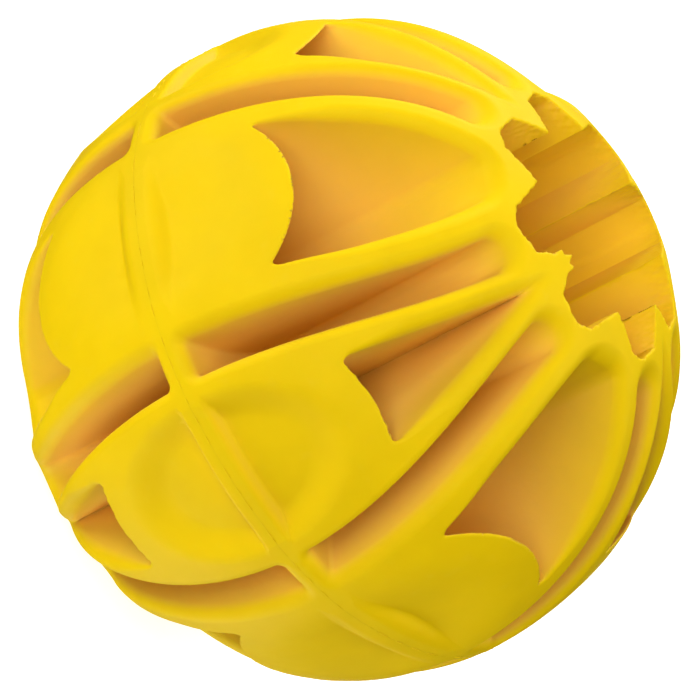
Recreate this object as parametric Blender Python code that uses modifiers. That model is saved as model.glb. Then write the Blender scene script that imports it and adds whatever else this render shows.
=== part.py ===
"""Solid moulded rubber ball: two equal cored halves, bonded back to back on an equator web.

Frame: origin at the ball's centre, +Z along the axis that the mould opens on. Four narrow "leaf"
segments are centred on +X, +Y, -X and -Y, and four broad "barrel" segments on the diagonals.
Every groove, pocket and socket wall is parallel to Z, so each half leaves its mould straight up.
"""

import math

import bmesh
import bpy
from mathutils import Matrix

# Driving dimensions, in metres.
BALL_RADIUS = 0.060
BOND_THICKNESS = 0.0003
BOND_CLEARANCE = 0.0003
WEB_HALF = 0.0030

# Equator rib, and the shallow dish that it crosses on each pad.
RIB_CREST_HALF = 0.0026
RIB_FOOT_HALF = 0.0040
# Each dish is its half-width, its half-height and its depth at the middle.
LEAF_DISH = (0.0170, 0.0240, 0.0036)
BARREL_DISH = (0.0190, 0.0270, 0.0022)
RIB_SINK_SHARE = 0.25
DISH_FALL = 1.5

# Grooves: arcs about one centre beside each leaf, in the leaf's own plan (x outwards, y sideways).
GROOVE_CENTRE = (0.0148, 0.0686)
LEAF_EDGE_RADIUS = 0.0662
GROOVE_WIDTH = 0.0078
GROOVE_END_RADIUS = 0.0282
GROOVE_END_CORNER = 0.0032

# Barrel pocket: its sides are arcs about the same centres, a wall's thickness past the grooves.
BARREL_WALL = 0.0049
BARREL_POCKET_INNER = 0.0270
BARREL_POCKET_HORN = (0.0541, 0.0150)
BARREL_PAD_MIDDLE = 0.0527

# Leaf pocket: a triangle with slightly hollow sides.
LEAF_POCKET_OUTER = (0.0533, 0.0091)
LEAF_POCKET_MIDDLE = (0.0420, 0.0050)
LEAF_POCKET_INNER = (0.0294, 0.0012)
POCKET_CORNER = 0.0010

# Star socket on the axis: a tooth at the end of every segment, and a flat valley between two teeth.
LEAF_TOOTH_TIP = 0.0187
BARREL_TOOTH_TIP = 0.0194
STAR_VALLEY_RADIUS = 0.0252
LEAF_TOOTH_HALF_WIDTH = 0.0045
BARREL_TOOTH_HALF_WIDTH = 0.0062
TOOTH_CORNER = 0.0005

SEGMENT_PAIRS = 4
SEGMENT_DEGREES = 45.0
TURNED_STEPS = 80
DOME_RINGS = 16
ARC_STEPS = 8
CORNER_STEPS = 3
SHARP_DEGREES = 50.0
UPRIGHT_SHARE = 0.99
SHADING_DEGREES = 30.0
WELD_DISTANCE = 0.000001
CUTTER_TOP = 1.1 * BALL_RADIUS
GROOVE_RUN_OUT = 1.12 * BALL_RADIUS
HALF_BASE = BOND_THICKNESS / 2 + BOND_CLEARANCE

RUBBER_YELLOW = (0.82, 0.55, 0.012, 1.0)
RUBBER_ROUGHNESS = 0.55
BOND_AMBER = (0.60, 0.36, 0.02, 1.0)
BOND_ROUGHNESS = 0.5


def clear_scene():
    """Leave nothing of the startup scene."""
    for leftover in list(bpy.data.objects):
        bpy.data.objects.remove(leftover, do_unlink=True)


def collection(name, hidden=False):
    """A new collection under the scene's own."""
    made = bpy.data.collections.new(name)
    bpy.context.scene.collection.children.link(made)
    made.hide_render = hidden
    return made


def material(name, colour, roughness):
    """A non-metallic Principled material."""
    made = bpy.data.materials.new(name)
    made.use_nodes = True
    shader = made.node_tree.nodes["Principled BSDF"]
    shader.inputs["Base Color"].default_value = colour
    shader.inputs["Roughness"].default_value = roughness
    shader.inputs["Metallic"].default_value = 0.0
    made.diffuse_color = colour
    return made


def link(name, mesh, home):
    """An object of this mesh in the collection."""
    made = bpy.data.objects.new(name, mesh)
    home.objects.link(made)
    return made


def turned(plan_point, degrees):
    """A plan point turned about the axis."""
    x, y = plan_point
    c, s = math.cos(math.radians(degrees)), math.sin(math.radians(degrees))
    return (x * c - y * s, x * s + y * c)


def mirrored(points):
    """Plan points reflected across the x axis, in reverse order."""
    return [(x, -y) for x, y in reversed(points)]


def arc(centre, radius, first, last, steps=ARC_STEPS):
    """Points on a circle between two angles in radians, ends included."""
    angles = [first + (last - first) * i / steps for i in range(steps + 1)]
    return [(centre[0] + radius * math.cos(a), centre[1] + radius * math.sin(a)) for a in angles]


def arc_through(a, b, c, steps=ARC_STEPS):
    """Points on the circle through three plan points, from the first to the last."""
    d = 2 * (a[0] * (b[1] - c[1]) + b[0] * (c[1] - a[1]) + c[0] * (a[1] - b[1]))
    squares = [p[0] ** 2 + p[1] ** 2 for p in (a, b, c)]
    x = (squares[0] * (b[1] - c[1]) + squares[1] * (c[1] - a[1]) + squares[2] * (a[1] - b[1])) / d
    y = (squares[0] * (c[0] - b[0]) + squares[1] * (a[0] - c[0]) + squares[2] * (b[0] - a[0])) / d
    first, last = (math.atan2(p[1] - y, p[0] - x) for p in (a, c))
    sweep = (last - first + math.pi) % (2 * math.pi) - math.pi
    return arc((x, y), math.hypot(a[0] - x, a[1] - y), first, first + sweep, steps)


def angle_at_axis_distance(radius, distance):
    """The angle, about a groove centre, of the arc's point this far from the ball's axis."""
    reach = math.hypot(*GROOVE_CENTRE)
    towards_axis = math.atan2(-GROOVE_CENTRE[1], -GROOVE_CENTRE[0])
    cosine = (radius**2 + reach**2 - distance**2) / (2 * radius * reach)
    return towards_axis + math.acos(cosine)


def groove_outline():
    """The groove beside a leaf: a band between two arcs that runs out past the sphere."""
    outlines = []
    for radius in (LEAF_EDGE_RADIUS, LEAF_EDGE_RADIUS - GROOVE_WIDTH):
        inner = angle_at_axis_distance(radius, GROOVE_END_RADIUS)
        outer = angle_at_axis_distance(radius, GROOVE_RUN_OUT)
        outlines.append(arc(GROOVE_CENTRE, radius, inner, outer))
    return outlines[0] + outlines[1][::-1]


def barrel_pocket_outline():
    """The pocket of the barrel on the x axis: two arcs that close in, and a bulging pad wall."""
    radius = LEAF_EDGE_RADIUS - GROOVE_WIDTH - BARREL_WALL
    inner = angle_at_axis_distance(radius, BARREL_POCKET_INNER)
    outer = angle_at_axis_distance(radius, math.hypot(*BARREL_POCKET_HORN))
    side = [turned(p, -SEGMENT_DEGREES) for p in arc(GROOVE_CENTRE, radius, inner, outer)]
    pad = arc_through(side[-1], (BARREL_PAD_MIDDLE, 0.0), (side[-1][0], -side[-1][1]))
    return side + pad[1:-1] + mirrored(side)


def leaf_pocket_outline():
    """The pocket of the leaf on the x axis."""
    side = arc_through(LEAF_POCKET_INNER, LEAF_POCKET_MIDDLE, LEAF_POCKET_OUTER)
    return side + mirrored(side)


def star_outline():
    """The socket's outline: flat valleys at the grooves and teeth at the segments."""
    points = []
    for k in range(2 * SEGMENT_PAIRS):
        tip = BARREL_TOOTH_TIP if k % 2 else LEAF_TOOTH_TIP
        half_width = BARREL_TOOTH_HALF_WIDTH if k % 2 else LEAF_TOOTH_HALF_WIDTH
        foot = math.sqrt(STAR_VALLEY_RADIUS**2 - half_width**2)
        tooth = [(foot, -half_width), (tip, 0.0), (foot, half_width)]
        points += [turned(p, SEGMENT_DEGREES * k) for p in tooth]
    return points


def extruded(outline, bottom, top):
    """A closed mesh between two heights over a flat outline."""
    flat = bpy.data.curves.new("outline", "CURVE")
    flat.dimensions = "2D"
    flat.fill_mode = "BOTH"
    flat.extrude = (top - bottom) / 2
    spline = flat.splines.new("POLY")
    spline.points.add(len(outline) - 1)
    for point, (x, y) in zip(spline.points, outline):
        point.co = (x, y, 0.0, 1.0)
    spline.use_cyclic_u = True
    holder = link("outline", flat, bpy.context.scene.collection)
    bpy.context.view_layer.update()
    graph = bpy.context.evaluated_depsgraph_get()
    mesh = bpy.data.meshes.new_from_object(holder.evaluated_get(graph))
    mesh.transform(Matrix.Translation((0.0, 0.0, (top + bottom) / 2)))
    bpy.data.objects.remove(holder, do_unlink=True)
    bpy.data.curves.remove(flat)
    return mesh


def is_sharp_upright(edge):
    """Whether an edge runs along Z between two side faces that meet at a clear corner."""
    along = (edge.verts[0].co - edge.verts[1].co).normalized()
    return abs(along.z) > UPRIGHT_SHARE and math.degrees(edge.calc_face_angle()) > SHARP_DEGREES


def cutter_mesh(name, outline, corner):
    """A prism from the web up past the sphere, its sharp upright corners rounded by this much."""
    mesh = extruded(outline, WEB_HALF, CUTTER_TOP)
    mesh.name = name
    shape = bmesh.new()
    shape.from_mesh(mesh)
    bmesh.ops.remove_doubles(shape, verts=shape.verts, dist=WELD_DISTANCE)
    upright = [edge for edge in shape.edges if is_sharp_upright(edge)]
    bmesh.ops.bevel(
        shape,
        geom=upright,
        offset=corner,
        segments=CORNER_STEPS,
        profile=0.5,
        affect="EDGES",
    )
    bmesh.ops.recalc_face_normals(shape, faces=shape.faces)
    shape.to_mesh(mesh)
    shape.free()
    return mesh


def cutter(name, mesh, home, degrees=0.0):
    """A cutter object, turned about the axis."""
    made = link(name, mesh, home)
    made.rotation_euler.z = math.radians(degrees)
    made.hide_render = True
    made.display_type = "WIRE"
    return made


def make_cutters(home):
    """Everything that is cored out of one half."""
    groove = cutter_mesh("groove_cut", groove_outline(), GROOVE_END_CORNER)
    barrel = cutter_mesh("barrel_pocket_cut", barrel_pocket_outline(), POCKET_CORNER)
    leaf = cutter_mesh("leaf_pocket_cut", leaf_pocket_outline(), POCKET_CORNER)
    star = cutter_mesh("star_socket_cut", star_outline(), TOOTH_CORNER)
    mirrored_groove = groove.copy()
    mirrored_groove.transform(Matrix.Scale(-1.0, 4, (0.0, 1.0, 0.0)))
    mirrored_groove.flip_normals()
    for pair in range(SEGMENT_PAIRS):
        quarter = 2 * SEGMENT_DEGREES * pair
        cutter(f"groove_cut_left_{pair + 1}", groove, home, quarter)
        cutter(f"groove_cut_right_{pair + 1}", mirrored_groove, home, quarter)
        cutter(f"leaf_pocket_cut_{pair + 1}", leaf, home, quarter)
        cutter(f"barrel_pocket_cut_{pair + 1}", barrel, home, quarter + SEGMENT_DEGREES)
    cutter("star_socket_cut", star, home)


def dome_profile():
    """The (radius, height) outline of a half, down its round side from the pole to the base."""
    lowest = math.asin(RIB_FOOT_HALF / BALL_RADIUS)
    heights = [math.pi / 2 + (lowest - math.pi / 2) * i / DOME_RINGS for i in range(DOME_RINGS + 1)]
    profile = [(BALL_RADIUS * math.cos(a), BALL_RADIUS * math.sin(a)) for a in heights]
    profile[0] = (0.0, BALL_RADIUS)
    for z in (RIB_CREST_HALF, HALF_BASE):
        profile.append((math.sqrt(BALL_RADIUS**2 - z**2), z))
    return profile + [(0.0, HALF_BASE)]


def dish_depth(x, y, z):
    """How far the pads' surface lies inside the sphere at a point of it."""
    segment = math.radians(SEGMENT_DEGREES)
    azimuth = math.atan2(y, x)
    k = round(azimuth / segment)
    half_width, half_height, depth = BARREL_DISH if k % 2 else LEAF_DISH
    sideways = math.hypot(x, y) * math.sin(azimuth - k * segment)
    spread = (sideways / half_width) ** 2 + (z / half_height) ** 2
    on_rib = z < (RIB_CREST_HALF + RIB_FOOT_HALF) / 2
    return depth * (RIB_SINK_SHARE if on_rib else 1.0) * max(0.0, 1.0 - spread) ** DISH_FALL


def make_dome(home):
    """One solid half before coring: a turned dome with the pads' dishes pressed into it."""
    mesh = bpy.data.meshes.new("dome")
    shape = bmesh.new()
    profile = [shape.verts.new((r, 0.0, z)) for r, z in dome_profile()]
    for upper, lower in zip(profile, profile[1:]):
        shape.edges.new((upper, lower))
    shape.to_mesh(mesh)
    shape.free()
    dome = link("dome", mesh, home)
    screw = dome.modifiers.new("turned", "SCREW")
    screw.steps = TURNED_STEPS
    screw.render_steps = TURNED_STEPS
    screw.use_merge_vertices = True
    screw.merge_threshold = WELD_DISTANCE
    bpy.context.view_layer.update()
    graph = bpy.context.evaluated_depsgraph_get()
    dome.data = bpy.data.meshes.new_from_object(dome.evaluated_get(graph))
    dome.modifiers.clear()
    for vertex in dome.data.vertices:
        inward = 1.0 - dish_depth(*vertex.co) / BALL_RADIUS
        vertex.co.xy *= inward
    return dome


def cored(dome, cutters):
    """The dome's mesh with every cutter taken away."""
    cut = dome.modifiers.new("cored", "BOOLEAN")
    cut.operation = "DIFFERENCE"
    cut.solver = "EXACT"
    cut.operand_type = "COLLECTION"
    cut.collection = cutters
    bpy.context.view_layer.update()
    graph = bpy.context.evaluated_depsgraph_get()
    mesh = bpy.data.meshes.new_from_object(dome.evaluated_get(graph))
    bpy.data.objects.remove(dome, do_unlink=True)
    return mesh


def make_halves(home, cutters):
    """Two equal mouldings: the lower is the upper turned over about X."""
    mesh = cored(make_dome(home), cutters)
    mesh.name = "half_moulding"
    mesh.materials.clear()
    mesh.materials.append(material("moulded_yellow_rubber", RUBBER_YELLOW, RUBBER_ROUGHNESS))
    mesh.shade_smooth()
    mesh.set_sharp_from_angle(angle=math.radians(SHADING_DEGREES))
    link("upper_half", mesh, home)
    lower = link("lower_half", mesh, home)
    lower.rotation_euler.x = math.pi


def make_bond(home):
    """The film of rubber cement that joins the two webs."""
    bond = bpy.data.meshes.new("seam_bond")
    shape = bmesh.new()
    bmesh.ops.create_cone(
        shape,
        cap_ends=True,
        segments=TURNED_STEPS,
        radius1=BALL_RADIUS,
        radius2=BALL_RADIUS,
        depth=BOND_THICKNESS,
    )
    for vertex in shape.verts:
        inward = 1.0 - dish_depth(*vertex.co) / BALL_RADIUS
        vertex.co.xy *= inward
    shape.to_mesh(bond)
    shape.free()
    bond.materials.append(material("cured_rubber_cement", BOND_AMBER, BOND_ROUGHNESS))
    link("seam_bond", bond, home)


def main():
    clear_scene()
    parts = collection("moulded_rubber_ball")
    cutters = collection("cutters", hidden=True)
    make_cutters(cutters)
    make_halves(parts, cutters)
    make_bond(parts)


main()
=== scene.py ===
"""Looks for the cored rubber ball: two moulded halves and the seam between them.

The surface of a half is the zero level of a signed distance field, worked out in shares of the
ball's radius. One wedge of 45 degrees, from a leaf's middle to the next barrel's middle, describes
the whole ball, because the plan mirrors about the middle of each leaf and of each barrel. Only the
torn edge of the star socket is different all the way round.
"""

import math

import bmesh
import bpy
import numpy as np
from mathutils import Matrix, Quaternion, Vector


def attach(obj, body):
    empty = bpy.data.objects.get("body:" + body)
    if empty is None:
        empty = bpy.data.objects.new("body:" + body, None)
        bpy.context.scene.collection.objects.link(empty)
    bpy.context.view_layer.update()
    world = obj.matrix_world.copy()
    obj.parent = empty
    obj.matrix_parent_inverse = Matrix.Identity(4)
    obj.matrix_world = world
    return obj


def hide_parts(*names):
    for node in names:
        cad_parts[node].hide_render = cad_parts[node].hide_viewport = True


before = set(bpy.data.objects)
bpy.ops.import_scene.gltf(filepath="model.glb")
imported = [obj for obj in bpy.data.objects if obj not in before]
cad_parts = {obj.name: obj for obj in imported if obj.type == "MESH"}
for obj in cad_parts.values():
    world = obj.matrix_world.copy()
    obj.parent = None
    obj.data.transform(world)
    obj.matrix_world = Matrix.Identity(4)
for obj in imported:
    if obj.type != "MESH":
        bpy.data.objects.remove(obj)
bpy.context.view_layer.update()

BALL_RADIUS = max(v.co.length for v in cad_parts["upper_half"].data.vertices)

# All sizes of the ball are shares of its radius, apart from slopes. First the grooves beside a
# leaf, between two arcs about one centre in plan, the web between the halves and the edge rounds.
GROOVE_CENTRE = (0.2456, 1.1444)
LEAF_EDGE_RADIUS = 1.0875
GROOVE_WIDTH = 0.107
GROOVE_END = 0.468
GROOVE_END_ROUND = 0.052
WEB_HALF = 0.050
FLOOR_ROUND = 0.014
GROOVE_EDGE_ROUND = 0.040
POCKET_EDGE_ROUND = 0.042
PAD_EDGE_ROUND = 0.013
PAD_EDGE_REACH = 0.140

# A barrel pocket: its inner end and its bulging pad wall lie between two walls beside the grooves.
BARREL_WALL = 0.100
BARREL_POCKET_INNER = 0.450
BARREL_POCKET_INNER_ROUND = 0.020
BARREL_PAD_WALL = 0.870
BARREL_PAD_BULGE_RADIUS = 1.48
BARREL_HORN_ROUND = 0.016

# A leaf pocket: three points of one side in plan, along and beside the leaf, and its pad wall.
LEAF_POCKET_SIDE = ((0.492, 0.004), (0.700, 0.078), (0.882, 0.150))
LEAF_PAD_WALL = 0.876
LEAF_POCKET_ROUND = 0.022
LEAF_POCKET_APEX_ROUND = 0.002

# The star socket: an octagon with a tooth in each side. A tooth is how far its tip is from the
# axis and half the width of its foot. One tooth is torn: it has a blunt tip and half-width, and
# a notch, which is two places in plan and a radius. The socket's rim is ragged.
STAR_FLAT = 0.398
STAR_CORNER_ROUND = 0.012
STAR_EDGE_ROUND = 0.006
LEAF_TOOTH = (0.298, 0.074)
BARREL_TOOTH = (0.315, 0.104)
RAGGED = 0.0016
RAGGED_PITCH = 0.022
RAGGED_DEPTH = 0.05
RAGGED_STRETCH = 0.6
TORN_TOOTH = (0.318, 0.034)
TORN_NOTCH = (0.323, -0.060, 0.016)

# A pad's dish: its half-width, half-height and depth, how wide its rim slopes, and how fast the
# round-backed rib on the equator falls away into it.
LEAF_DISH = (0.262, 0.395, 0.042, 0.110, 60.0)
BARREL_DISH = (0.300, 0.440, 0.042, 0.260, 12.0)
RIB_FLAT_HALF = 0.030
RIB_SINK_SHARE = 0.15
RIB_FOOT_EASE = 0.35

# The surface: the grid's step, how far its edge lies outside the ball, in steps, how a cell's
# point is held near the cell's middle, and when a face counts as folded over.
GRID_STEP = 0.0075
GRID_MARGIN = 2.5
PULL_TO_MIDDLE = 0.2
UNFOLD_ROUNDS = 4
FOLDED = 0.2
SLOPE_REACH = 1e-4
TINY = 1e-12
MOST_TRIANGLES = 190_000

# The rubber's colours: its own where it is lit, and a darker orange painted as shade down in a core,
# where less light reaches; and the same pair for the seam film. A cloud darkens the lit one.
RUBBER_LIT = (0.94, 0.635, 0.001, 1.0)
RUBBER_PAINTED_SHADE = (0.95, 0.58, 0.100, 1.0)
SEAM_LIT = (0.91, 0.61, 0.002, 1.0)
SEAM_PAINTED_SHADE = (0.80, 0.40, 0.010, 1.0)
BLOOM = (0.95, 0.70, 0.05, 1.0)
CLOUD_SHADE = 0.93
BLOOM_SHARE = 0.10
# Painted shade: how far the occlusion test for the cores reaches, its rays, and the openness over
# which the painted shade gives way to the lit colour.
CORE_SHADE_REACH = 0.030
CORE_SHADE_RAYS = 12
CORE_SHADE_RANGE = (0.15, 0.85)

# Noise in the rubber is a scale and a detail, and a range is the two ends of what it drives.
# A bump is its strength and its height in metres.
CLOUDS = (70.0, 3.0)
CLOUD_RANGE = (0.35, 0.70)
BLOOM_SPECKS = (420.0, 6.0)
BLOOM_RANGE = (0.60, 0.78)
POLISH = (160.0, 4.0)
ROUGHNESS_RANGE = (0.52, 0.68)
COARSE_GRAIN = (260.0, 3.0)
COARSE_BUMP = (0.35, 0.00025)
FINE_GRAIN = (2200.0, 2.0)
FINE_BUMP = (0.25, 0.00006)
SPECULAR_LEVEL = 0.08
SCATTER_SHARE = 0.10
SCATTER_RADII = (1.0, 0.45, 0.08)
SCATTER_DEPTH = 0.0025

# The film between the halves: its half-thickness, how its bead stands proud, where the random
# waves leave it bare, and its section, in shares of the film's reach outwards and upwards.
SEAM_HALF = 0.0012
SEAM_BEAD = 0.0024
SEAM_SUNK = 0.0004
SEAM_BEAD_PITCH = 0.06
SEAM_STEPS = 720
SEAM_BARE = (-0.2, 0.8)
SEAM_SECTION = ((-0.5, -1.0), (0.0, -1.0), (1.0, 0.0), (0.0, 1.0), (-0.5, 1.0))

# Random waves: how many, how their pitch varies, and a seed for each piece.
WAVES = 7
WAVE_SPREAD = (0.7, 1.5)
UPPER_SEED, LOWER_SEED, SEAM_SEED = 11, 23, 5

# The camera: degrees, the distance in ball radii, and how the ball fills the frame.
CAMERA_AZIMUTH, CAMERA_ELEVATION, CAMERA_ROLL = -10.33, 28.58, 62.77
CAMERA_DISTANCE = 15.87
CAMERA_SHIFT = (0.0021, -0.0013)
BALL_SHARE_OF_FRAME = 0.9490

# The studio, in metres and watts. A soft box stands towards the camera's right, up and back.
LAMP_SIZE, LAMP_REACH = 0.7, 1.2
SOFT_BOXES = (
    ("front", (0.00, 0.00, 1.00), 5.9),
    ("upper_front", (-0.23, 0.41, 0.88), 5.3),
    ("right_front", (0.82, 0.00, 0.57), 1.9),
    ("right_side", (0.99, 0.00, 0.14), 5.7),
    ("upper_left", (-0.70, 0.70, 0.14), 7.7),
    ("lower_left", (-0.70, -0.70, 0.14), 3.8),
    ("low_rim", (-0.47, -0.81, -0.34), 7.8),
    ("top_rim", (0.47, 0.81, -0.34), 11.0),
    ("back", (0.0, 0.0, -1.0), 5.0),
)
WORLD_LIGHT = 0.02
WORLD_SEEN = 1.0
FLOOR_SIDE = 12.0
FLOOR_COLOUR = (0.8, 0.8, 0.8, 1.0)
FLOOR_ROUGHNESS = 0.9
FLOOR_GLOW = 0.8
WHITE = (1.0, 1.0, 1.0, 1.0)


def round_max(a, b, radius):
    """The larger of two distances, with a round of this radius where they cross."""
    corner = np.hypot(np.maximum(a + radius, 0.0), np.maximum(b + radius, 0.0)) - radius
    return np.where((a > -radius) & (b > -radius), corner, np.maximum(a, b))


def circle_through(a, b, c):
    """Centre and radius of the circle through three points."""
    rows = 2.0 * np.array([np.subtract(b, a), np.subtract(c, a)])
    squares = [np.dot(b, b) - np.dot(a, a), np.dot(c, c) - np.dot(a, a)]
    centre = np.linalg.solve(rows, squares)
    return centre, math.dist(centre, a)


def smooth_step(x, low, high):
    """0 below low, 1 above high, and an even rise between."""
    t = np.clip((x - low) / (high - low), 0.0, 1.0)
    return t * t * (3.0 - 2.0 * t)


def wander(x, y, z, pitch, seed):
    """A smooth random value about 0, from waves in seeded directions."""
    rng = np.random.default_rng(seed)
    total = np.zeros_like(x)
    for _ in range(WAVES):
        direction = rng.normal(size=3)
        direction *= rng.uniform(*WAVE_SPREAD) * 2.0 * math.pi / pitch / np.linalg.norm(direction)
        phase = rng.uniform(0.0, 2.0 * math.pi)
        total += np.sin(direction[0] * x + direction[1] * y + direction[2] * z + phase)
    return total / math.sqrt(WAVES)


def folded(x, y):
    """Plan coordinates in the wedge: along and beside the nearest leaf, then the nearest barrel."""
    along = np.maximum(np.abs(x), np.abs(y))
    beside = np.minimum(np.abs(x), np.abs(y))
    root = math.sqrt(0.5)
    return along, beside, (along + beside) * root, (along - beside) * root


def blended_min(a, b, width):
    """The smaller of two values, eased over a band of this width where they cross."""
    ease = np.maximum(width - np.abs(a - b), 0.0)
    return np.minimum(a, b) - ease * ease / (4.0 * width)


def dish(beside, z, size):
    """How far a pad lies inside the sphere: an oval dish that the equator rib crosses."""
    half_width, half_height, depth, slope, rib_fall = size
    from_rim = half_width * (1.0 - np.hypot(beside / half_width, z / half_height))
    bowl = depth * smooth_step(from_rim, 0.0, slope)
    rib = RIB_SINK_SHARE * bowl + rib_fall * np.maximum(np.abs(z) - RIB_FLAT_HALF, 0.0) ** 2
    return np.maximum(blended_min(bowl, rib, RIB_FOOT_EASE * depth), 0.0)


def outer_radius(x, y, z):
    """The ball's radius in the direction of a point, pads and rib included."""
    _, leaf_beside, _, barrel_beside = folded(x, y)
    return 1.0 - dish(leaf_beside, z, LEAF_DISH) - dish(barrel_beside, z, BARREL_DISH)


def groove_plan(along, beside):
    """Distance from the groove beside a leaf, in plan: a band between two arcs, with a round end."""
    from_centre = np.hypot(along - GROOVE_CENTRE[0], beside - GROOVE_CENTRE[1])
    band = np.abs(from_centre - LEAF_EDGE_RADIUS + GROOVE_WIDTH / 2) - GROOVE_WIDTH / 2
    return round_max(band, GROOVE_END - np.hypot(along, beside), GROOVE_END_ROUND)


def barrel_pocket_plan(along, beside, barrel_along, barrel_beside):
    """Distance from the barrel pocket, in plan, and from its pad wall alone."""
    from_centre = np.hypot(along - GROOVE_CENTRE[0], beside - GROOVE_CENTRE[1])
    side = from_centre - LEAF_EDGE_RADIUS + GROOVE_WIDTH + BARREL_WALL
    inner = BARREL_POCKET_INNER - barrel_along
    bulge_centre = BARREL_PAD_WALL + BARREL_PAD_BULGE_RADIUS
    pad = BARREL_PAD_BULGE_RADIUS - np.hypot(barrel_along - bulge_centre, barrel_beside)
    outline = round_max(side, inner, BARREL_POCKET_INNER_ROUND)
    return round_max(outline, pad, BARREL_HORN_ROUND), pad


def leaf_pocket_plan(along, beside):
    """Distance from the leaf pocket, in plan, and from its pad wall alone: a narrow triangle."""
    centre, radius = circle_through(*LEAF_POCKET_SIDE)
    near = radius - np.hypot(along - centre[0], beside - centre[1])
    far = radius - np.hypot(along - centre[0], -beside - centre[1])
    sides = round_max(near, far, LEAF_POCKET_APEX_ROUND)
    pad = along - LEAF_PAD_WALL
    return round_max(sides, pad, LEAF_POCKET_ROUND), pad


def tooth_plan(along, beside, size):
    """Distance from a tooth of the star, in plan: negative inside the tooth."""
    tip, half_width = size
    length = STAR_FLAT - tip
    slope = math.hypot(length, half_width)
    return (beside * length - (along - tip) * half_width) / slope


def star_plan(along, beside, barrel_along, barrel_beside):
    """Distance from the star socket, in plan: an octagon less a tooth in the middle of each side."""
    octagon = round_max(along - STAR_FLAT, barrel_along - STAR_FLAT, STAR_CORNER_ROUND)
    teeth = np.minimum(
        tooth_plan(along, beside, LEAF_TOOTH),
        tooth_plan(barrel_along, barrel_beside, BARREL_TOOTH),
    )
    return np.maximum(octagon, -teeth)


def solid_distance(x, y, z, seed):
    """Signed distance from one half, negative in the rubber. It ignores the seam plane."""
    leaf_along, leaf_beside, barrel_along, barrel_beside = folded(x, y)
    height = np.abs(z)
    outside = np.sqrt(x * x + y * y + z * z) - outer_radius(x, y, z)
    above_web = WEB_HALF - height
    groove = groove_plan(leaf_along, leaf_beside)
    body = round_max(outside, -round_max(groove, above_web, FLOOR_ROUND), GROOVE_EDGE_ROUND)
    for plan, pad in (
        barrel_pocket_plan(leaf_along, leaf_beside, barrel_along, barrel_beside),
        leaf_pocket_plan(leaf_along, leaf_beside),
    ):
        softer = smooth_step(-pad, 0.0, PAD_EDGE_REACH)
        edge = PAD_EDGE_ROUND + (POCKET_EDGE_ROUND - PAD_EDGE_ROUND) * softer
        body = round_max(body, -round_max(plan, above_web, FLOOR_ROUND), edge)
    star = star_plan(leaf_along, leaf_beside, barrel_along, barrel_beside)
    torn = np.maximum(np.abs(x) - TORN_TOOTH[1], TORN_TOOTH[0] + y)
    notch = TORN_NOTCH[2] - np.hypot(x - TORN_NOTCH[1], y + TORN_NOTCH[0])
    near_rim = np.exp(-np.abs(outside) / RAGGED_DEPTH)
    star = np.maximum(star, -np.maximum(torn, notch))
    star = star + RAGGED * near_rim * wander(x, y, RAGGED_STRETCH * z, RAGGED_PITCH, seed)
    return round_max(body, -round_max(star, above_web, FLOOR_ROUND), STAR_EDGE_ROUND)


def slope_of(points, seed):
    """The field's unit slope at each point."""
    slope = np.empty_like(points)
    for axis in range(3):
        ahead, behind = points.copy(), points.copy()
        ahead[:, axis] += SLOPE_REACH
        behind[:, axis] -= SLOPE_REACH
        slope[:, axis] = solid_distance(*ahead.T, seed) - solid_distance(*behind.T, seed)
    return slope / np.maximum(np.linalg.norm(slope, axis=1), TINY)[:, None]


def cell_surface(field, lowest, seed):
    """Points and quads on the field's zero level, with one point in each cell that it crosses.

    A cell's point is where the tangent planes at its crossed edges come closest to meeting, so
    that an edge of the rubber stays an edge.
    """
    inside = field < 0.0
    index = np.full(np.array(field.shape) - 1, -1, np.int64)
    places, slopes, cells, faces = [], [], [], []
    for axis in range(3):
        here, there = [slice(1, -1)] * 3, [slice(1, -1)] * 3
        here[axis], there[axis] = slice(0, -1), slice(1, None)
        ends = np.eye(3, dtype=int)
        first = np.argwhere(inside[tuple(here)] != inside[tuple(there)]) + 1 - ends[axis]
        low, high = field[tuple(first.T)], field[tuple((first + ends[axis]).T)]
        place = first + (low / (low - high))[:, None] * ends[axis]
        one, other = ends[(axis + 1) % 3], ends[(axis + 2) % 3]
        ring = [first - one - other, first - other, first, first - one]
        outward = (low < 0.0)[:, None]
        places.append(place)
        slopes.append(slope_of(lowest + GRID_STEP * place, seed))
        cells.append(ring)
        faces.append(outward)
    around = [np.concatenate([ring[k] for ring in cells]) for k in range(4)]
    place, slope = np.concatenate(places), np.concatenate(slopes)
    every = np.concatenate(around)
    index[tuple(every.T)] = 0
    crossed = np.argwhere(index == 0)
    index[tuple(crossed.T)] = np.arange(len(crossed))
    owner = index[tuple(every.T)]

    def gathered(values):
        return np.bincount(owner, np.tile(values, 4), len(crossed))

    hits = gathered(np.ones(len(place)))
    middle = np.stack([gathered(place[:, a]) for a in range(3)], axis=1) / hits[:, None]
    reach = (slope * place).sum(1)
    grid = np.empty((len(crossed), 3, 3))
    right = np.empty((len(crossed), 3))
    for a in range(3):
        right[:, a] = gathered(slope[:, a] * reach)
        for b in range(3):
            grid[:, a, b] = gathered(slope[:, a] * slope[:, b])
    right -= (grid @ middle[:, :, None])[:, :, 0]
    grid += PULL_TO_MIDDLE * np.eye(3)
    points = middle + np.linalg.solve(grid, right[:, :, None])[:, :, 0]
    points = np.clip(points, crossed, crossed + 1)
    corners = np.stack([index[tuple(ring.T)] for ring in around], axis=1)
    quads = np.where(np.concatenate(faces), corners, corners[:, ::-1])
    for _ in range(UNFOLD_ROUNDS):
        corner = points[quads]
        facing = np.cross(corner[:, 2] - corner[:, 0], corner[:, 3] - corner[:, 1])
        facing /= np.maximum(np.linalg.norm(facing, axis=1), TINY)[:, None]
        against = (facing * slope).sum(1) < FOLDED
        loose = np.unique(quads[against])
        points[loose] += (middle[loose] - points[loose]) / 2
    return lowest + GRID_STEP * points, quads


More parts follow.
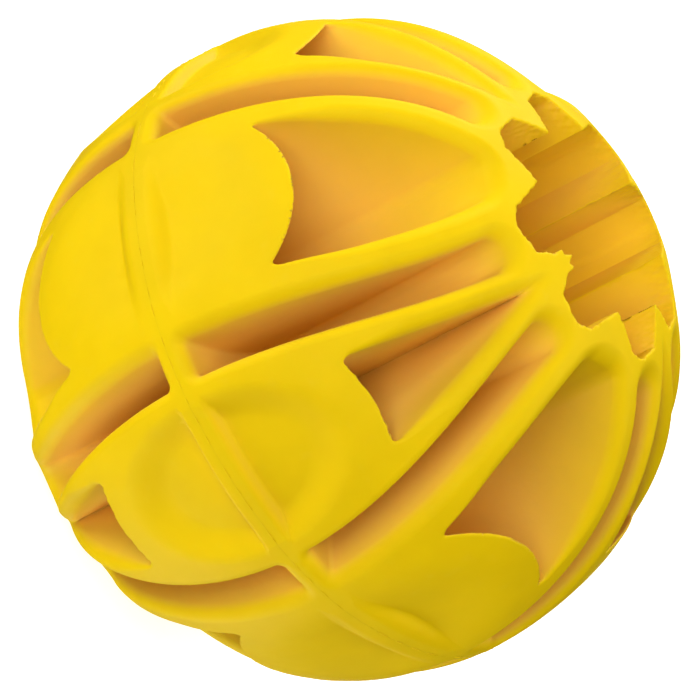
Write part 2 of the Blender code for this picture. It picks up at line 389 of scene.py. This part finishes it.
def half_mesh(name, seed):
    """The upper half as a mesh that is cut flat on the seam plane."""
    side = 1.0 + GRID_MARGIN * GRID_STEP
    across = np.arange(-side, side, GRID_STEP)
    up = np.arange(-GRID_MARGIN * GRID_STEP, side, GRID_STEP)
    x, y, z = np.meshgrid(across, across, up, indexing="ij")
    field = solid_distance(x, y, z, seed)
    # Closed underneath, where the cut on the seam plane takes it away again.
    field[:, :, 0] = np.maximum(field[:, :, 0], GRID_STEP)
    lowest = np.array([across[0], across[0], up[0]])
    points, quads = cell_surface(field, lowest, seed)
    mesh = bpy.data.meshes.new(name)
    mesh.from_pydata((points * BALL_RADIUS).tolist(), [], quads.tolist())
    shape = bmesh.new()
    shape.from_mesh(mesh)
    everything = shape.verts[:] + shape.edges[:] + shape.faces[:]
    bmesh.ops.bisect_plane(
        shape,
        geom=everything,
        plane_co=(0.0, 0.0, SEAM_HALF * BALL_RADIUS),
        plane_no=(0.0, 0.0, -1.0),
        clear_outer=True,
    )
    rim = [edge for edge in shape.edges if edge.is_boundary]
    bmesh.ops.holes_fill(shape, edges=rim, sides=0)
    bmesh.ops.recalc_face_normals(shape, faces=shape.faces)
    shape.to_mesh(mesh)
    shape.free()
    return mesh


def make_seam():
    """The film of cured cement between the halves, with a torn bead where it squeezed out."""
    steps = SEAM_STEPS
    angles = np.arange(steps) * 2.0 * math.pi / steps
    x, y = np.cos(angles), np.sin(angles)
    edge = outer_radius(x, y, np.zeros(steps))
    squeezed = wander(x, y, np.zeros(steps), SEAM_BEAD_PITCH, SEAM_SEED)
    proud = SEAM_BEAD * smooth_step(squeezed, *SEAM_BARE) - SEAM_SUNK
    shape = bmesh.new()
    loops = []
    for out, up in SEAM_SECTION:
        radius = BALL_RADIUS * (edge + np.where(out > 0, proud, out * SEAM_HALF))
        points = zip(radius * x, radius * y)
        height = up * SEAM_HALF * BALL_RADIUS
        loops.append([shape.verts.new((px, py, height)) for px, py in points])
    for low, high in zip(loops, loops[1:]):
        for k in range(steps):
            after = (k + 1) % steps
            shape.faces.new((low[k], low[after], high[after], high[k]))
    shape.faces.new(loops[0][::-1])
    shape.faces.new(loops[-1])
    mesh = bpy.data.meshes.new("seam_bead")
    shape.to_mesh(mesh)
    shape.free()
    return added("seam_bead", mesh)


def added(name, data):
    """An object of this mesh, lamp or camera data in the scene."""
    made = bpy.data.objects.new(name, data)
    bpy.context.scene.collection.objects.link(made)
    return made


def thin(piece):
    """Thins the piece's flat stretches out, down to a set number of triangles."""
    triangles = sum(len(face.vertices) - 2 for face in piece.data.polygons)
    if triangles > MOST_TRIANGLES:
        modifier = piece.modifiers.new("thinned", "DECIMATE")
        modifier.ratio = MOST_TRIANGLES / triangles
        graph = bpy.context.evaluated_depsgraph_get()
        mesh = bpy.data.meshes.new_from_object(piece.evaluated_get(graph))
        piece.modifiers.clear()
        piece.data = mesh


def make_half(name, seed, turned_over):
    """One moulding in place. Its normals are the field's, so that the thinning doesn't show."""
    piece = added(name, half_mesh(name, seed))
    if turned_over:
        piece.data.transform(Matrix.Rotation(math.pi, 4, "X"))
    thin(piece)
    mesh = piece.data
    mesh.shade_smooth()
    points = np.empty(3 * len(mesh.vertices), np.float32)
    mesh.vertices.foreach_get("co", points)
    turned = np.array([1.0, -1.0, -1.0]) if turned_over else np.ones(3)
    normals = slope_of(points.reshape(-1, 3) * turned / BALL_RADIUS, seed) * turned
    mesh.normals_split_custom_set_from_vertices(normals.tolist())
    return piece


def rubber(name, lit, painted_shade):
    """Matt moulded rubber: its own colour where it is lit, and a darker one painted as shade down in
    the cores, where an occlusion test finds them closed in.
    """
    made = bpy.data.materials.new(name)
    made.use_nodes = True
    tree = made.node_tree
    shader = tree.nodes["Principled BSDF"]

    def node(kind, **inputs):
        new = tree.nodes.new(kind)
        for key, value in inputs.items():
            new.inputs[key.replace("_", " ")].default_value = value
        return new

    def join(source, target):
        tree.links.new(source, target)

    def noise(scale, detail):
        new = node("ShaderNodeTexNoise", Scale=scale, Detail=detail)
        join(place.outputs["Object"], new.inputs["Vector"])
        return new.outputs["Fac"]

    def ramp(source, low, high):
        new = tree.nodes.new("ShaderNodeValToRGB")
        new.color_ramp.elements[0].position, new.color_ramp.elements[1].position = low, high
        join(source, new.inputs["Fac"])
        return new.outputs["Color"]

    def blend(factor, first, second):
        new = tree.nodes.new("ShaderNodeMix")
        new.data_type = "RGBA"
        for socket, value in (("Factor", factor), ("A", first), ("B", second)):
            target = next(i for i in new.inputs if i.name == socket and i.enabled)
            if isinstance(value, bpy.types.NodeSocket):
                join(value, target)
            else:
                target.default_value = value
        return next(out for out in new.outputs if out.enabled)

    place = tree.nodes.new("ShaderNodeTexCoord")
    # Painted shade: the occlusion test blends the painted shade colour in, in place of the lit one,
    # where a core is closed in.
    painted_shade_test = node("ShaderNodeAmbientOcclusion", Distance=CORE_SHADE_REACH)
    painted_shade_test.samples = CORE_SHADE_RAYS
    lit_share = ramp(painted_shade_test.outputs["AO"], *CORE_SHADE_RANGE)
    cloudy = ramp(noise(*CLOUDS), *CLOUD_RANGE)
    lit_tone = blend(cloudy, lit, tuple(CLOUD_SHADE * c for c in lit[:3]) + (1.0,))
    base = blend(lit_share, painted_shade, lit_tone)
    bloom = ramp(noise(*BLOOM_SPECKS), *BLOOM_RANGE)
    faint = node("ShaderNodeMath")
    faint.operation = "MULTIPLY"
    join(bloom, faint.inputs[0])
    faint.inputs[1].default_value = BLOOM_SHARE
    join(blend(faint.outputs["Value"], base, BLOOM), shader.inputs["Base Color"])

    rough = node("ShaderNodeMapRange", To_Min=ROUGHNESS_RANGE[0], To_Max=ROUGHNESS_RANGE[1])
    join(noise(*POLISH), rough.inputs["Value"])
    join(rough.outputs["Result"], shader.inputs["Roughness"])
    shader.inputs["Specular IOR Level"].default_value = SPECULAR_LEVEL
    shader.inputs["Subsurface Weight"].default_value = SCATTER_SHARE
    shader.inputs["Subsurface Radius"].default_value = SCATTER_RADII
    shader.inputs["Subsurface Scale"].default_value = SCATTER_DEPTH

    coarse = node("ShaderNodeBump", Strength=COARSE_BUMP[0], Distance=COARSE_BUMP[1])
    join(noise(*COARSE_GRAIN), coarse.inputs["Height"])
    fine = node("ShaderNodeBump", Strength=FINE_BUMP[0], Distance=FINE_BUMP[1])
    join(noise(*FINE_GRAIN), fine.inputs["Height"])
    join(coarse.outputs["Normal"], fine.inputs["Normal"])
    join(fine.outputs["Normal"], shader.inputs["Normal"])
    return made


def camera_axes():
    """The camera's turn, and its right, up and back as unit vectors in the ball's frame."""
    azimuth, elevation = math.radians(CAMERA_AZIMUTH), math.radians(CAMERA_ELEVATION)
    level = math.cos(elevation)
    back = Vector((math.sin(azimuth) * level, -math.cos(azimuth) * level, math.sin(elevation)))
    turn = (-back).to_track_quat("-Z", "Y") @ Quaternion((0, 0, 1), math.radians(CAMERA_ROLL))
    return turn, turn @ Vector((1, 0, 0)), turn @ Vector((0, 1, 0)), back


def make_camera():
    """A long lens that looks at the ball's middle from the photographed side."""
    turn, _, _, back = camera_axes()
    data = bpy.data.cameras.new("camera")
    distance = CAMERA_DISTANCE * BALL_RADIUS
    data.lens = data.sensor_width * BALL_SHARE_OF_FRAME / 2 * math.sqrt(CAMERA_DISTANCE**2 - 1)
    data.shift_x, data.shift_y = CAMERA_SHIFT
    camera = added("camera", data)
    camera.location = back * distance
    camera.rotation_mode = "QUATERNION"
    camera.rotation_quaternion = turn
    bpy.context.scene.camera = camera


def make_lights():
    """Soft boxes round the ball, and a faint even light that the camera sees as white."""
    _, right, up, back = camera_axes()

    def soft_box(name, aim, power):
        data = bpy.data.lights.new(name, "AREA")
        data.size = LAMP_SIZE
        data.energy = power
        lamp = added(name, data)
        towards = (right * aim[0] + up * aim[1] + back * aim[2]).normalized()
        lamp.location = towards * LAMP_REACH
        lamp.visible_camera = False
        lamp.rotation_euler = towards.to_track_quat("Z", "Y").to_euler()

    for name, aim, power in SOFT_BOXES:
        soft_box(name, aim, power)
    world = bpy.data.worlds.new("studio")
    world.use_nodes = True
    tree = world.node_tree
    rays = tree.nodes.new("ShaderNodeLightPath")
    strength = tree.nodes.new("ShaderNodeMapRange")
    tree.links.new(rays.outputs["Is Camera Ray"], strength.inputs["Value"])
    strength.inputs["To Min"].default_value = WORLD_LIGHT
    strength.inputs["To Max"].default_value = WORLD_SEEN
    background = tree.nodes["Background"]
    background.inputs["Color"].default_value = WHITE
    tree.links.new(strength.outputs["Result"], background.inputs["Strength"])
    bpy.context.scene.world = world


def make_floor(height):
    """A plain pale floor that the camera sees, and that takes no part in the lighting."""
    bpy.ops.mesh.primitive_plane_add(size=FLOOR_SIDE, location=(0.0, 0.0, height))
    floor = bpy.context.object
    floor.name = "floor"
    made = bpy.data.materials.new("pale_floor")
    made.use_nodes = True
    shader = made.node_tree.nodes["Principled BSDF"]
    shader.inputs["Base Color"].default_value = FLOOR_COLOUR
    shader.inputs["Roughness"].default_value = FLOOR_ROUGHNESS
    shader.inputs["Emission Color"].default_value = WHITE
    shader.inputs["Emission Strength"].default_value = FLOOR_GLOW
    floor.data.materials.append(made)
    floor.visible_diffuse = floor.visible_glossy = floor.visible_shadow = False


def main():
    """Both mouldings and the seam, on the one body, then the studio."""
    upper = make_half("upper_half_moulding", UPPER_SEED, False)
    lower = make_half("lower_half_moulding", LOWER_SEED, True)
    material = rubber("moulded_yellow_rubber", RUBBER_LIT, RUBBER_PAINTED_SHADE)
    seam = make_seam()
    seam.data.materials.append(rubber("seam_rubber_film", SEAM_LIT, SEAM_PAINTED_SHADE))
    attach(seam, "root")
    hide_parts("seam_bond")
    for piece, node in ((upper, "upper_half"), (lower, "lower_half")):
        piece.data.materials.clear()
        piece.data.materials.append(material)
        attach(piece, "root")
        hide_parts(node)
    make_camera()
    make_lights()
    make_floor(min(v.co.z for v in lower.data.vertices))
    bpy.context.scene.view_settings.view_transform = "Standard"


main()
